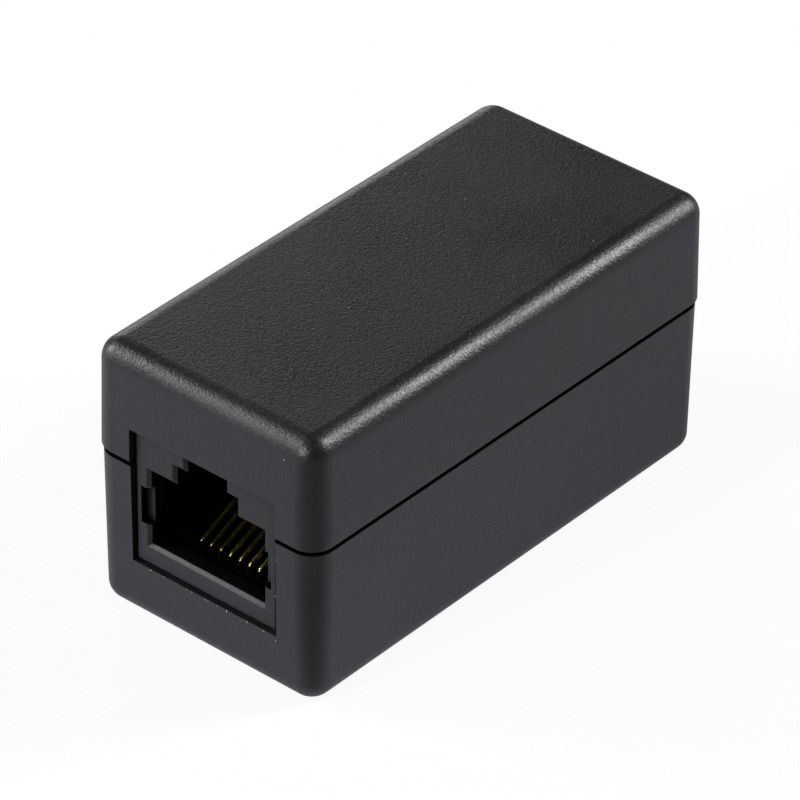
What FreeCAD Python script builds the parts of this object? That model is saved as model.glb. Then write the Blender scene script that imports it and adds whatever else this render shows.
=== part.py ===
# In-line coupler for two 8P8C modular plugs.
# A two-shell box holds a small circuit board with a modular jack at each end, tab side up.
# Millimetres and degrees. X is the width, Y the length, Z is up. The origin is the middle of the
# face that the coupler rests on. The front jack opens towards -Y.
import FreeCAD, Part
import os
import re
import Sketcher

Vector = FreeCAD.Vector

CONTACT_COUNT = 8
ROUND_SIDES = 6                    # flat sides that stand for the round of a thin wire and its solder
TURN = {"front": 0, "rear": 180}   # degrees about Z, for what is the same at both ends
LOOSE_SPREAD = 300.0               # degrees of a circle that a loose outline starts on
LOOSE_RADIUS = 0.05
NEAR = 0.001                       # how far apart two places may be and still be the same one

# ---------------------------------------------------------------- driving sizes
SIZES = {
    # case
    "case_length": 48.6,
    "case_width": 23.5,          # across the upper shell at its lower edge
    "case_height": 25.0,
    "parting_height": 15.0,      # lower edge of the upper shell
    "seam_gap": 0.35,            # shadow line between the two shells
    "shell_overhang": 0.12,      # how far the upper shell stands proud of the lower one
    "wall": 1.8,
    "upper_draft": 1.0,
    "lower_draft": 0.7,
    "corner_radius": 2.1,
    "inner_corner_radius": 0.5,
    "top_edge_radius": 1.9,
    "bottom_edge_radius": 1.7,
    "rim_radius": 0.15,          # softened edge of both shells at the seam
    "tongue_width": 0.75,
    "tongue_height": 1.1,
    "tongue_clearance": 0.1,     # between the tongue's side and its rebate
    # circuit board
    "board_underside": 4.0,
    "board_thickness": 1.6,
    "board_side_gap": 0.45,
    "board_end_gap": 0.3,
    "hole_clearance": 0.1,       # round each pin, peg and neck, on the radius
    # press-fit posts that join the shells through the board
    "post_spacing": 13.0,
    "post_diameter": 1.9,
    "post_clearance": 0.05,
    "post_end_gap": 0.6,
    "column_diameter": 4.4,
    "boss_diameter": 5.0,
    "neck_diameter": 3.0,
    "neck_length": 2.6,
    # ribs that seat the board and hold it and the jacks down
    "rib_side_gap": 0.7,         # from the side of the jack to the inner ends of the side ribs
    "rib_length": 3.0,
    "rib_position": 15.0,        # from the middle of the case to the middle of a rib
    "cross_rib_thickness": 1.2,
    "cross_rib_width": 12.0,
    "stop_rib_bottom": 6.4,      # above the board
    "rib_clearance": 0.05,
    # jack housing
    "jack_width": 14.8,
    "jack_height": 12.35,
    "jack_depth": 16.0,
    "jack_recess": 0.5,          # face of the jack behind the end face of the case
    "port_gap": 0.2,             # between the jack and the opening in the case
    "jack_edge": 0.15,
    "plug_width": 11.9,
    "plug_height": 7.05,
    "plug_floor": 1.95,          # thickness of the floor under the plug
    "lead_in": 0.3,
    "key_width": 6.32,           # room for the latch at the step of the keyway
    "key_height": 1.7,
    "slot_width": 4.06,          # narrow top of the keyway
    "front_wall": 1.6,           # wall that the latch catches behind
    "catch_length": 8.0,
    "catch_roof": 0.8,
    "notch_width": 13.66,
    "notch_height": 3.5,
    "notch_bottom": 3.8,         # above the underside of the jack
    "notch_depth": 0.65,
    "bend_gap": 0.2,             # between the floor and the front of each bend
    "comb_recess": 0.35,         # sunk part of the floor that the teeth between the bends stand in
    "tooth_length": 1.3,
    "tooth_radius": 0.2,
    "peg_diameter": 2.5,
    "peg_length": 2.6,
    "peg_spacing": 11.8,
    "peg_depth": 6.3,
    "window_setback": 1.3,       # windows that the comb block snaps into, from the back
    "window_length": 1.7,
    "window_bottom": 5.0,
    "window_height": 2.4,
    # contacts
    "contact_count": CONTACT_COUNT,
    "contact_spacing": 1.02,
    "wire_diameter": 0.45,
    "run_height": 0.75,          # centre of the lower run above the board
    "bend_radius": 0.5,
    "bend_depth": 3.4,           # front of the bend behind the face of the jack
    "contact_rise": 25.0,
    "tip_depth": 13.1,
    "tip_engagement": 0.6,       # length of each tip inside the comb block's upright
    "pin_setback": 1.26,         # last row of pins, from the back of the jack
    "pin_row_gap": 2.54,
    "pin_stickout": 1.4,
    # comb block
    "groove_clearance": 0.05,
    "insert_clearance": 0.05,
    "insert_width": 9.2,
    "channel_bottom": 1.38,      # above the board
    "comb_length": 5.0,
    "insert_recess": 0.5,        # back of the comb block in front of the back of the jack
    "barb_height": 0.6,
    "barb_gap": 0.15,            # between a barb and the edges of its window
    "tip_end_gap": 0.4,          # between the tips and the ends of their slots
    "tip_slot_top": 1.4,         # above the tips of the contacts
    # solder
    "solder_height": 0.8,
    "solder_radius": 0.72,
    "solder_top_radius": 0.4,
}

# ---------------------------------------------------------------- sizes worked out from them
DERIVED = {
    "half_length": "(case_length / 2)",
    "half_width": "(case_width / 2)",
    "lower_half_length": "(half_length - shell_overhang)",
    "lower_half_width": "(half_width - shell_overhang)",
    "rim_height": "(parting_height - seam_gap)",
    "tongue_inset": "(wall - tongue_width)",
    "board_top": "(board_underside + board_thickness)",
    "board_half_width": "(lower_half_width - wall - board_side_gap)",
    "board_half_length": "(lower_half_length - wall - board_end_gap)",
    "rib_inner_end": "(jack_width / 2 + rib_side_gap)",
    "neck_top": "(board_underside + neck_length)",
    "roof": "(case_height - wall)",
    "jack_face": "(half_length - jack_recess)",
    "jack_top": "(board_top + jack_height)",
    "port_half_width": "(jack_width / 2 + port_gap)",
    "port_bottom": "(board_top - port_gap)",
    "port_top": "(jack_top + port_gap)",
    "plug_top": "(plug_floor + plug_height)",
    "key_top": "(plug_top + key_height)",
    "groove_width": "(wire_diameter + 2 * groove_clearance)",
    "groove_top": "(run_height + groove_width / 2)",
    "first_contact": "(-contact_spacing * (contact_count - 1) / 2)",
    "contact_span": "(contact_spacing * (contact_count - 1))",
    "last_pin_depth": "(jack_depth - pin_setback)",
    "pin_depth": "(last_pin_depth - pin_row_gap)",
    "bend_corner": "(bend_depth + bend_radius - bend_radius / tan(contact_rise / 2))",
    "tip_height": "(run_height + (tip_depth - bend_corner) * tan(contact_rise))",
    "bend_slot_start": "(bend_depth - wire_diameter / 2 - bend_gap)",
    "nose_depth": "(bend_depth + bend_radius)",
    "upright_depth": "(tip_depth - tip_engagement)",
    "insert_back": "(jack_depth - insert_recess)",
    "window_depth": "(jack_depth - window_setback - window_length)",
    "tooth_depth": "(nose_depth - tooth_length)",
}
WORD = re.compile(r"[a-z][a-z_]+")


def spelled(text):
    """The expression with each worked-out size spelled out and each driving size read from the sheet."""

    def swap(match):
        word = match[0]
        if word in DERIVED:
            return spelled(DERIVED[word])
        return "Sizes." + word if word in SIZES else word

    return WORD.sub(swap, text)


def bind(owner, place, text):
    owner.setExpression(place, spelled(text))


def less(text):
    return f"-({text})"


def size_sheet(doc):
    """The driving sizes, one to a row: name, value."""
    sheet = doc.addObject("Spreadsheet::Sheet", "Sizes")
    for row, (name, value) in enumerate(SIZES.items(), start=1):
        sheet.set(f"A{row}", name)
        sheet.set(f"B{row}", str(value))
        sheet.setAlias(f"B{row}", name)
    doc.recompute()


# ---------------------------------------------------------------- sketches
def sketch_on(body, name, role, offset="0", centre=("0", "0")):
    """A sketch on one of the body's own origin planes, lifted along its normal and shifted in it."""
    sketch = body.newObject("Sketcher::SketchObject", name)
    plane = [item for item in body.Origin.OriginFeatures if item.Role == role][0]
    sketch.AttachmentSupport = [(plane, "")]
    sketch.MapMode = "FlatFace"
    bind(sketch, "AttachmentOffset.Base.x", centre[0])
    bind(sketch, "AttachmentOffset.Base.y", centre[1])
    bind(sketch, "AttachmentOffset.Base.z", offset)
    return sketch


def pin_point(sketch, edge, end, place):
    """Holds one end of an edge at a place measured from the sketch's origin."""
    for kind, text in zip(("DistanceX", "DistanceY"), place):
        made = sketch.addConstraint(Sketcher.Constraint(kind, -1, 1, edge, end, 1.0))
        bind(sketch, f"Constraints[{made}]", text)


def draw(sketch, corners, closed=True):
    """A chain of straight lines through the corners; each corner is a pair of expressions."""
    first = sketch.GeometryCount
    count = len(corners)
    # Any loose polygon will do to start from, because the constraints then move its corners.
    loose = []
    for k in range(count):
        turn = FreeCAD.Rotation(Vector(0, 0, 1), LOOSE_SPREAD * k / count)
        loose.append(turn.multVec(Vector(1, 0, 0)))
    lines = count if closed else count - 1
    for k in range(lines):
        sketch.addGeometry(Part.LineSegment(loose[k], loose[(k + 1) % count]), False)
    for k in range(lines if closed else lines - 1):
        sketch.addConstraint(Sketcher.Constraint("Coincident", first + k, 2, first + (k + 1) % lines, 1))
    for k, corner in enumerate(corners):
        if k < lines:
            pin_point(sketch, first + k, 1, corner)
        else:
            pin_point(sketch, first + k - 1, 2, corner)
    sketch.Document.recompute()
    return first


def draw_box(sketch, left, right, low, high):
    return draw(sketch, [(left, low), (right, low), (right, high), (left, high)])


def draw_circle(sketch, place, diameter):
    circle = sketch.addGeometry(Part.Circle(Vector(0, 0, 0), Vector(0, 0, 1), 1.0), False)
    pin_point(sketch, circle, 3, place)
    made = sketch.addConstraint(Sketcher.Constraint("Diameter", circle, 2.0))
    bind(sketch, f"Constraints[{made}]", diameter)


def draw_polygon(sketch, place, diameter):
    """A regular outline round a place, with its corners on a circle."""
    corners = []
    for k in range(ROUND_SIDES):
        angle = 360 * k / ROUND_SIDES
        corners.append(
            (f"{place[0]} + {diameter} / 2 * cos({angle})", f"{place[1]} + {diameter} / 2 * sin({angle})")
        )
    draw(sketch, corners)


def round_corner(sketch, line, radius):
    """Rounds the corner at the end of a line; the corner's own place stays as it was set."""
    sketch.fillet(line, 2, LOOSE_RADIUS, True, True)
    arc = sketch.GeometryCount - 2
    made = sketch.addConstraint(Sketcher.Constraint("Radius", arc, LOOSE_RADIUS))
    bind(sketch, f"Constraints[{made}]", radius)
    sketch.Document.recompute()


def draw_rounded(sketch, half_width, half_length, radius):
    first = draw_box(sketch, less(half_width), half_width, less(half_length), half_length)
    for line in range(first, first + 4):
        round_corner(sketch, line, radius)


# ---------------------------------------------------------------- features
def new_body(doc, label, origin=("0", "0", "0"), turn=0):
    body = doc.addObject("PartDesign::Body", label)
    body.Label = label
    body.Placement.Rotation = FreeCAD.Rotation(Vector(0, 0, 1), turn)
    for axis, text in zip("xyz", origin):
        bind(body, f"Placement.Base.{axis}", text)
    return body


def finish(body, feature):
    body.Tip = feature
    body.Document.recompute()
    return feature


def pad(body, sketch, length, up=True, draft=None, middle=False):
    feature = body.newObject("PartDesign::Pad", sketch.Name + "_pad")
    feature.Profile = sketch
    feature.Midplane = middle
    feature.Reversed = not up
    bind(feature, "Length", length)
    if draft:
        bind(feature, "TaperAngle", less(draft))
    return finish(body, feature)


def pocket(body, sketch, length=None, up=False, draft=None, middle=False):
    """Cuts against the sketch's normal, or along it with up; right through without a length."""
    before = body.Shape.Volume
    feature = body.newObject("PartDesign::Pocket", sketch.Name + "_pocket")
    feature.Profile = sketch
    feature.Midplane = middle
    feature.Reversed = up
    if length:
        bind(feature, "Length", length)
    else:
        feature.Type = "ThroughAll"
    if draft:
        bind(feature, "TaperAngle", less(draft))
    finish(body, feature)
    if not body.Shape.Volume < before:
        raise RuntimeError(f"{feature.Name} cuts nothing")
    return feature


def repeat(body, features, sketch, count, length):
    """Copies of one or more features along the sketch's own X."""
    pattern = body.newObject("PartDesign::LinearPattern", features[-1].Name + "_row")
    pattern.Originals = features
    pattern.Direction = (sketch, ["H_Axis"])
    bind(pattern, "Length", length)
    bind(pattern, "Occurrences", count)
    return finish(body, pattern)


def flat_faces(body, axis, height):
    """Faces that lie in the plane at a height along an axis of the body's own frame, numbered."""
    found = []
    for number, face in enumerate(body.Tip.Shape.Faces, start=1):
        box = face.BoundBox
        low, high = getattr(box, axis + "Min"), getattr(box, axis + "Max")
        if high - low < NEAR and abs(low - height) < NEAR:
            found.append((number, face))
    return found


def outline_edges(body, axis, height):
    """Names of the edges round the outside of the flat face at a height."""
    outer = [edge for number, face in flat_faces(body, axis, height) for edge in face.OuterWire.Edges]
    names = []
    for number, edge in enumerate(body.Tip.Shape.Edges, start=1):
        if any(edge.isSame(other) for other in outer):
            names.append(f"Edge{number}")
    return names


def front_edges(body, inside):
    """Names of the edges in the front plane, inside the block's outline or on it, but for its top."""
    box = body.Tip.Shape.BoundBox
    names = []
    for number, edge in enumerate(body.Tip.Shape.Edges, start=1):
        middle = edge.valueAt((edge.FirstParameter + edge.LastParameter) / 2)
        in_front = edge.BoundBox.YLength < NEAR and abs(middle.y - box.YMin) < NEAR
        within = abs(middle.x) < box.XMax - NEAR and middle.z > box.ZMin + NEAR
        if in_front and middle.z < box.ZMax - NEAR and within == inside:
            names.append(f"Edge{number}")
    return names


def dress(body, kind, size, edges):
    """A fillet or chamfer on the named edges."""
    base = body.Tip
    feature = body.newObject(f"PartDesign::{kind}", f"{body.Name}_{kind}")
    feature.Base = (base, edges)
    bind(feature, "Radius" if kind == "Fillet" else "Size", size)
    return finish(body, feature)


# ---------------------------------------------------------------- case
def cut_ports(body):
    """The opening for each jack, cut through both end walls."""
    sketch = sketch_on(body, body.Label + "_ports", "XZ_Plane")
    draw_box(sketch, less("port_half_width"), "port_half_width", "port_bottom", "port_top")
    pocket(body, sketch, middle=True)


def upper_shell(doc):
    body = new_body(doc, "upper_shell")
    outline = sketch_on(body, "upper_outline", "XY_Plane", "parting_height")
    draw_rounded(outline, "half_width", "half_length", "corner_radius")
    pad(body, outline, "case_height - parting_height", draft="upper_draft")
    inside = sketch_on(body, "upper_inside", "XY_Plane", "parting_height")
    draw_rounded(inside, "half_width - wall", "half_length - wall", "inner_corner_radius")
    pocket(body, inside, "roof - parting_height", up=True, draft="upper_draft")

    box = body.Tip.Shape.BoundBox
    dress(body, "Fillet", "top_edge_radius", outline_edges(body, "Z", box.ZMax))
    dress(body, "Fillet", "rim_radius", outline_edges(body, "Z", box.ZMin))

    # The rebate that rests on the tongue of the lower shell, which leaves the seam open by its gap.
    rebate = sketch_on(body, "rebate", "XY_Plane", "parting_height")
    inset = "tongue_inset + shell_overhang - tongue_clearance"
    draw_rounded(rebate, f"half_width - ({inset})", f"half_length - ({inset})", f"corner_radius - ({inset})")
    pocket(body, rebate, "tongue_height - seam_gap", up=True)
    cut_ports(body)

    for side, sign in (("left", "-"), ("right", "")):
        column = sketch_on(body, f"{side}_column", "XY_Plane", "neck_top + rib_clearance")
        draw_circle(column, (f"{sign}post_spacing / 2", "0"), "column_diameter")
        pad(body, column, "roof + wall / 2 - neck_top - rib_clearance")
        post = sketch_on(body, f"{side}_post", "XY_Plane", "wall + post_end_gap")
        draw_circle(post, (f"{sign}post_spacing / 2", "0"), "post_diameter")
        pad(body, post, "neck_top - post_end_gap")

    for end, along in (("front", "-rib_position"), ("rear", "rib_position")):
        # Presses the jack down.
        press = sketch_on(body, f"{end}_press_rib", "XZ_Plane", less(along))
        draw_box(
            press,
            "-cross_rib_width / 2",
            "cross_rib_width / 2",
            "jack_top + rib_clearance",
            "roof + wall / 2",
        )
        pad(body, press, "cross_rib_thickness", middle=True)
        # Stops the jack being pushed in.
        sign = "-" if end == "front" else ""
        stop = sketch_on(
            body,
            f"{end}_stop_rib",
            "XZ_Plane",
            less(f"{sign}(jack_face - jack_depth - rib_clearance - cross_rib_thickness / 2)"),
        )
        draw_box(
            stop,
            "-cross_rib_width / 2",
            "cross_rib_width / 2",
            "board_top + stop_rib_bottom",
            "roof + wall / 2",
        )
        pad(body, stop, "cross_rib_thickness", middle=True)
        # Hold the board down at its two sides, and join the side walls above the rebate.
        for side, sign in (("left", "-"), ("right", "")):
            hold = sketch_on(body, f"{end}_{side}_hold_rib", "XZ_Plane", less(along))
            inner = f"{sign}rib_inner_end"
            edge = f"{sign}board_half_width"
            outer = f"{sign}(half_width - wall / 2)"
            step = "rim_height + tongue_height + rib_clearance + wall / 2"
            draw(
                hold,
                [
                    (inner, "board_top + rib_clearance"),
                    (edge, "board_top + rib_clearance"),
                    (edge, step),
                    (outer, step),
                    (outer, "roof"),
                    (edge, "roof + wall / 2"),
                    (inner, "roof + wall / 2"),
                ],
            )
            pad(body, hold, "rib_length", middle=True)
    return body


def lower_shell(doc):
    body = new_body(doc, "lower_shell")
    outline = sketch_on(body, "lower_outline", "XY_Plane", "rim_height")
    draw_rounded(outline, "lower_half_width", "lower_half_length", "corner_radius")
    pad(body, outline, "rim_height", up=False, draft="lower_draft")
    inside = sketch_on(body, "lower_inside", "XY_Plane", "rim_height")
    draw_rounded(inside, "lower_half_width - wall", "lower_half_length - wall", "inner_corner_radius")
    pocket(body, inside, "rim_height - wall", draft="lower_draft")

    box = body.Tip.Shape.BoundBox
    dress(body, "Fillet", "bottom_edge_radius", outline_edges(body, "Z", box.ZMin))
    dress(body, "Fillet", "rim_radius", outline_edges(body, "Z", box.ZMax))

    tongue = sketch_on(body, "tongue", "XY_Plane", "rim_height")
    draw_rounded(
        tongue,
        "lower_half_width - tongue_inset",
        "lower_half_length - tongue_inset",
        "corner_radius - tongue_inset",
    )
    draw_rounded(tongue, "lower_half_width - wall", "lower_half_length - wall", "inner_corner_radius")
    pad(body, tongue, "tongue_height")
    cut_ports(body)

    for side, sign in (("left", "-"), ("right", "")):
        place = (f"{sign}post_spacing / 2", "0")
        boss = sketch_on(body, f"{side}_boss", "XY_Plane", "wall / 2")
        draw_circle(boss, place, "boss_diameter")
        pad(body, boss, "board_underside - wall / 2")
        neck = sketch_on(body, f"{side}_neck", "XY_Plane", "wall / 2")
        draw_circle(neck, place, "neck_diameter")
        pad(body, neck, "neck_top - wall / 2")
        socket = sketch_on(body, f"{side}_socket", "XY_Plane", "neck_top")
        draw_circle(socket, place, "post_diameter + 2 * post_clearance")
        pocket(body, socket, "neck_top - wall")

        for end, along in (("front", "-rib_position"), ("rear", "rib_position")):
            ledge = sketch_on(body, f"{end}_{side}_ledge", "XZ_Plane", less(along))
            draw_box(
                ledge,
                f"{sign}rib_inner_end",
                f"{sign}(lower_half_width - wall / 2)",
                "wall / 2",
                "board_underside",
            )
            pad(body, ledge, "rib_length", middle=True)
    return body


# ---------------------------------------------------------------- circuit board
def pin_places(end):
    """Places of one jack's pins on the board; the rear jack is the front one turned half way round."""
    sign, other = ("", "-") if end == "front" else ("-", "")
    places = []
    for number in range(CONTACT_COUNT):
        depth = ("pin_depth", "last_pin_depth")[number % 2]
        along = f"{sign}(first_contact + {number} * contact_spacing)"
        places.append((along, f"{other}(jack_face - {depth})"))
    return places


def circuit_board(doc):
    body = new_body(doc, "circuit_board")
    outline = sketch_on(body, "board_outline", "XY_Plane", "board_underside")
    draw_box(
        outline,
        less("board_half_width"),
        "board_half_width",
        less("board_half_length"),
        "board_half_length",
    )
    pad(body, outline, "board_thickness")

    for end in TURN:
        pins = sketch_on(body, f"{end}_pin_holes", "XY_Plane", "board_top")
        for place in pin_places(end):
            draw_circle(pins, place, "wire_diameter + 2 * hole_clearance")
        pocket(body, pins)
        pegs = sketch_on(body, f"{end}_peg_holes", "XY_Plane", "board_top")
        sign = "-" if end == "front" else ""
        for side in ("-", ""):
            place = (f"{side}peg_spacing / 2", f"{sign}(jack_face - peg_depth)")
            draw_circle(pegs, place, "peg_diameter + 2 * hole_clearance")
        pocket(body, pegs)

    necks = sketch_on(body, "neck_holes", "XY_Plane", "board_top")
    for side in ("-", ""):
        draw_circle(necks, (f"{side}post_spacing / 2", "0"), "neck_diameter + 2 * hole_clearance")
    pocket(body, necks)
    return body


# ---------------------------------------------------------------- jack
# Each piece of a jack is drawn from the middle of the jack's face, at the board's upper side,
# with Y running into the jack.
def jack_body(doc, end, name, across="0"):
    if end == "front":
        return new_body(doc, name, (across, "-jack_face", "board_top"), TURN[end])
    return new_body(doc, name, (less(across), "jack_face", "board_top"), TURN[end])


def contact_slots(body, name, base, height, low, high):
    """A slot along every contact, cut upwards from a base height, between two depths."""
    sketch = sketch_on(body, f"{body.Name}_{name}", "XY_Plane", base)
    draw_box(sketch, "first_contact - groove_width / 2", "first_contact + groove_width / 2", low, high)
    slot = pocket(body, sketch, height, up=True)
    return repeat(body, [slot], sketch, "contact_count", "contact_span")


def jack_housing(doc, end):
    body = jack_body(doc, end, f"{end}_jack_housing")

    block = sketch_on(body, f"{end}_block", "XZ_Plane")
    draw_box(block, "-jack_width / 2", "jack_width / 2", "0", "jack_height")
    pad(body, block, "jack_depth", up=False)

    # Mouth: the plug's outline with the stepped keyway for its latch, open at the top.
    mouth = sketch_on(body, f"{end}_mouth", "XZ_Plane")
    right = [
        ("plug_width / 2", "plug_floor"),
        ("plug_width / 2", "plug_top"),
        ("key_width / 2", "plug_top"),
        ("key_width / 2", "key_top"),
        ("slot_width / 2", "key_top"),
        ("slot_width / 2", "jack_height + lead_in"),
    ]
    draw(mouth, right + [(less(across), up) for across, up in reversed(right)])
    pocket(body, mouth, "front_wall")
    dress(body, "Chamfer", "lead_in", front_edges(body, inside=True))
    dress(body, "Chamfer", "jack_edge", front_edges(body, inside=False))

    # Shallow side notches in the face.
    notches = sketch_on(body, f"{end}_notches", "XZ_Plane")
    draw_box(notches, "-notch_width / 2", "notch_width / 2", "notch_bottom", "notch_bottom + notch_height")
    pocket(body, notches, "notch_depth")

    # Room for the plug, open at the back for the comb block.
    room = sketch_on(body, f"{end}_room", "XZ_Plane")
    draw_box(room, "-plug_width / 2", "plug_width / 2", "plug_floor", "plug_top")
    pocket(body, room)

    # Room for the latch to rise behind the front wall.
    catch = sketch_on(body, f"{end}_catch", "XZ_Plane", "-front_wall")
    draw_box(catch, "-key_width / 2", "key_width / 2", "plug_top", "jack_height - catch_roof")
    pocket(body, catch, "catch_length")

    # Teeth that keep the bends apart, with round noses, in a sunk part of the floor.
    sunk = sketch_on(body, f"{end}_sunk_floor", "XY_Plane", "plug_floor")
    draw_box(sunk, "-insert_width / 2", "insert_width / 2", "front_wall", "nose_depth")
    pocket(body, sunk, "comb_recess")
    tooth = sketch_on(body, f"{end}_tooth", "XY_Plane", "plug_floor - comb_recess")
    middle = "first_contact - contact_spacing / 2"
    half = "(contact_spacing - groove_width) / 2"
    first = draw(
        tooth,
        [
            (f"{middle} + {half}", "nose_depth"),
            (f"{middle} - {half}", "nose_depth"),
            (f"{middle} - {half}", "tooth_depth"),
            (f"{middle} + {half}", "tooth_depth"),
        ],
    )
    round_corner(tooth, first + 1, "tooth_radius")
    round_corner(tooth, first + 2, "tooth_radius")
    raised = pad(body, tooth, "comb_recess")
    repeat(body, [raised], tooth, "contact_count + 1", "contact_span + contact_spacing")

    # Seat of the comb block in the floor, and the slots in front of it that each bend passes.
    seat = sketch_on(body, f"{end}_seat", "XY_Plane")
    half = "insert_width / 2 + insert_clearance"
    draw_box(seat, less(half), half, "nose_depth - insert_clearance", "jack_depth")
    pocket(body, seat, "plug_floor", up=True)
    contact_slots(body, "bend_slot", "0", "plug_floor", "bend_slot_start", "nose_depth")

    # Windows that the comb block's barbs snap into.
    windows = sketch_on(body, f"{end}_windows", "YZ_Plane")
    draw_box(
        windows,
        "window_depth",
        "window_depth + window_length",
        "window_bottom",
        "window_bottom + window_height",
    )
    pocket(body, windows, middle=True)

    pegs = sketch_on(body, f"{end}_pegs", "XY_Plane")
    for side in ("-", ""):
        draw_circle(pegs, (f"{side}peg_spacing / 2", "peg_depth"), "peg_diameter")
    pad(body, pegs, "peg_length", up=False)
    return body


def contact_insert(doc, end):
    """The comb block: a grooved floor plate and an upright whose slots guide the contacts' tips."""
    body = jack_body(doc, end, f"{end}_contact_insert")

    plate = sketch_on(body, f"{end}_plate", "YZ_Plane")
    top = "plug_top - insert_clearance"
    draw(
        plate,
        [
            ("nose_depth", "0"),
            ("insert_back", "0"),
            ("insert_back", top),
            ("upright_depth", top),
            ("upright_depth", "plug_floor"),
            ("nose_depth", "plug_floor"),
        ],
    )
    pad(body, plate, "insert_width", middle=True)
    upright = sketch_on(body, f"{end}_upright", "YZ_Plane")
    draw_box(upright, "upright_depth", "insert_back", "plug_floor + insert_clearance", top)
    pad(body, upright, "plug_width - 2 * insert_clearance", middle=True)

    contact_slots(body, "groove", "0", "groove_top", "nose_depth", "last_pin_depth + groove_width / 2")
    contact_slots(
        body,
        "channel",
        "channel_bottom",
        "plug_floor - channel_bottom",
        "nose_depth",
        "nose_depth + comb_length",
    )
    contact_slots(
        body,
        "tip_slot",
        "plug_floor",
        "tip_height + tip_slot_top - plug_floor",
        "upright_depth",
        "tip_depth + tip_end_gap",
    )

    side = "plug_width / 2 - insert_clearance"
    back = "window_depth + window_length - barb_gap"
    for name, sign in (("left", "-"), ("right", "")):
        barb = sketch_on(body, f"{end}_{name}_barb", "XY_Plane", "window_bottom + barb_gap")
        draw(
            barb,
            [
                (f"{sign}({side} - barb_height)", back),
                (f"{sign}({side} + barb_height)", back),
                (f"{sign}({side})", "window_depth + barb_gap"),
                (f"{sign}({side} - barb_height)", "window_depth + barb_gap"),
            ],
        )
        pad(body, barb, "window_height - 2 * barb_gap")
    return body


def contact(doc, end, number):
    """One spring wire: pin through the board, lower run, bend, and the slope that meets the plug."""
    across = f"first_contact + {number} * contact_spacing"
    body = jack_body(doc, end, f"{end}_contact_{number + 1}", across)
    pin = ("pin_depth", "last_pin_depth")[number % 2]
    pin_end = "-(board_thickness + pin_stickout)"

    path = sketch_on(body, body.Name + "_path", "YZ_Plane")
    corners = [
        (pin, pin_end),
        (pin, "run_height"),
        ("bend_corner", "run_height"),
        ("tip_depth", "tip_height"),
    ]
    draw(path, corners, closed=False)
    round_corner(path, 0, "bend_radius")
    round_corner(path, 1, "bend_radius")

    section = sketch_on(body, body.Name + "_section", "XY_Plane", pin_end)
    draw_polygon(section, ("0", pin), "wire_diameter")
    wire = body.newObject("PartDesign::AdditivePipe", body.Name + "_wire")
    wire.Profile = section
    wire.Spine = (path, [])
    finish(body, wire)
    return body


def solder_joints(doc, end):
    """A cone of solder round each pin on the underside of the board."""
    body = jack_body(doc, end, f"{end}_solder_joints")
    body.AllowCompound = True
    draft = "atan((solder_radius - solder_top_radius) / solder_height)"
    for row, depth in enumerate(("pin_depth", "last_pin_depth")):
        place = (f"first_contact + {row} * contact_spacing", depth)
        foot = sketch_on(body, f"{end}_cone_{row + 1}", "XY_Plane", "-board_thickness")
        draw_polygon(foot, place, "2 * solder_radius")
        cone = pad(body, foot, "solder_height", up=False, draft=draft)
        wire = sketch_on(body, f"{end}_wire_hole_{row + 1}", "XY_Plane", "-board_thickness")
        draw_polygon(wire, place, "wire_diameter")
        hole = pocket(body, wire, "solder_height")
        repeat(body, [cone, hole], foot, "contact_count / 2", "contact_span - contact_spacing")
    return body


# ---------------------------------------------------------------- the whole coupler
def build(doc):
    size_sheet(doc)
    bodies = [upper_shell(doc), lower_shell(doc), circuit_board(doc)]
    for end in TURN:
        bodies.append(jack_housing(doc, end))
        bodies.append(contact_insert(doc, end))
        bodies.append(solder_joints(doc, end))
        for number in range(CONTACT_COUNT):
            bodies.append(contact(doc, end, number))
    doc.recompute()
    return bodies


def check(doc, bodies):
    """Stops before anything is written if a feature failed or a sub-part has no valid solid."""
    failed = [item.Name for item in doc.Objects if {"Invalid", "Error"} & set(item.State)]
    if failed:
        raise RuntimeError("failed: " + ", ".join(failed))
    for body in bodies:
        if body.Shape.isNull() or not body.Shape.isValid() or not body.Shape.Solids:
            raise RuntimeError(f"{body.Label} has no valid solid")


def main():
    doc = FreeCAD.newDocument("InlineCoupler")
    bodies = build(doc)
    check(doc, bodies)
    os.makedirs("parts", exist_ok=True)
    for body in bodies:
        body.Shape.exportStep(f"parts/{body.Label}.step")
        print(f"{body.Label}: {body.Shape.Volume:.1f} mm3, {len(body.Shape.Faces)} faces")


main()
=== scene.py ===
# %% [markdown]
# # An in-line coupler for two network leads
# The real thing is a small black box: two moulded shells that meet at a shadow line, and at each
# end a modular jack whose eight gold-plated spring wires can be seen in the socket.
# Its solids come from the CAD model, at their real size, and stay exactly where they are. This
# script gives them their surfaces, adds what moulding leaves on real plastic, and lights the part.
# The first cell loads the solids. Blender counts in metres, so a millimetre gets a name.

# %% Load the solids
import math

import bpy
from mathutils import Matrix, Vector


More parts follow.
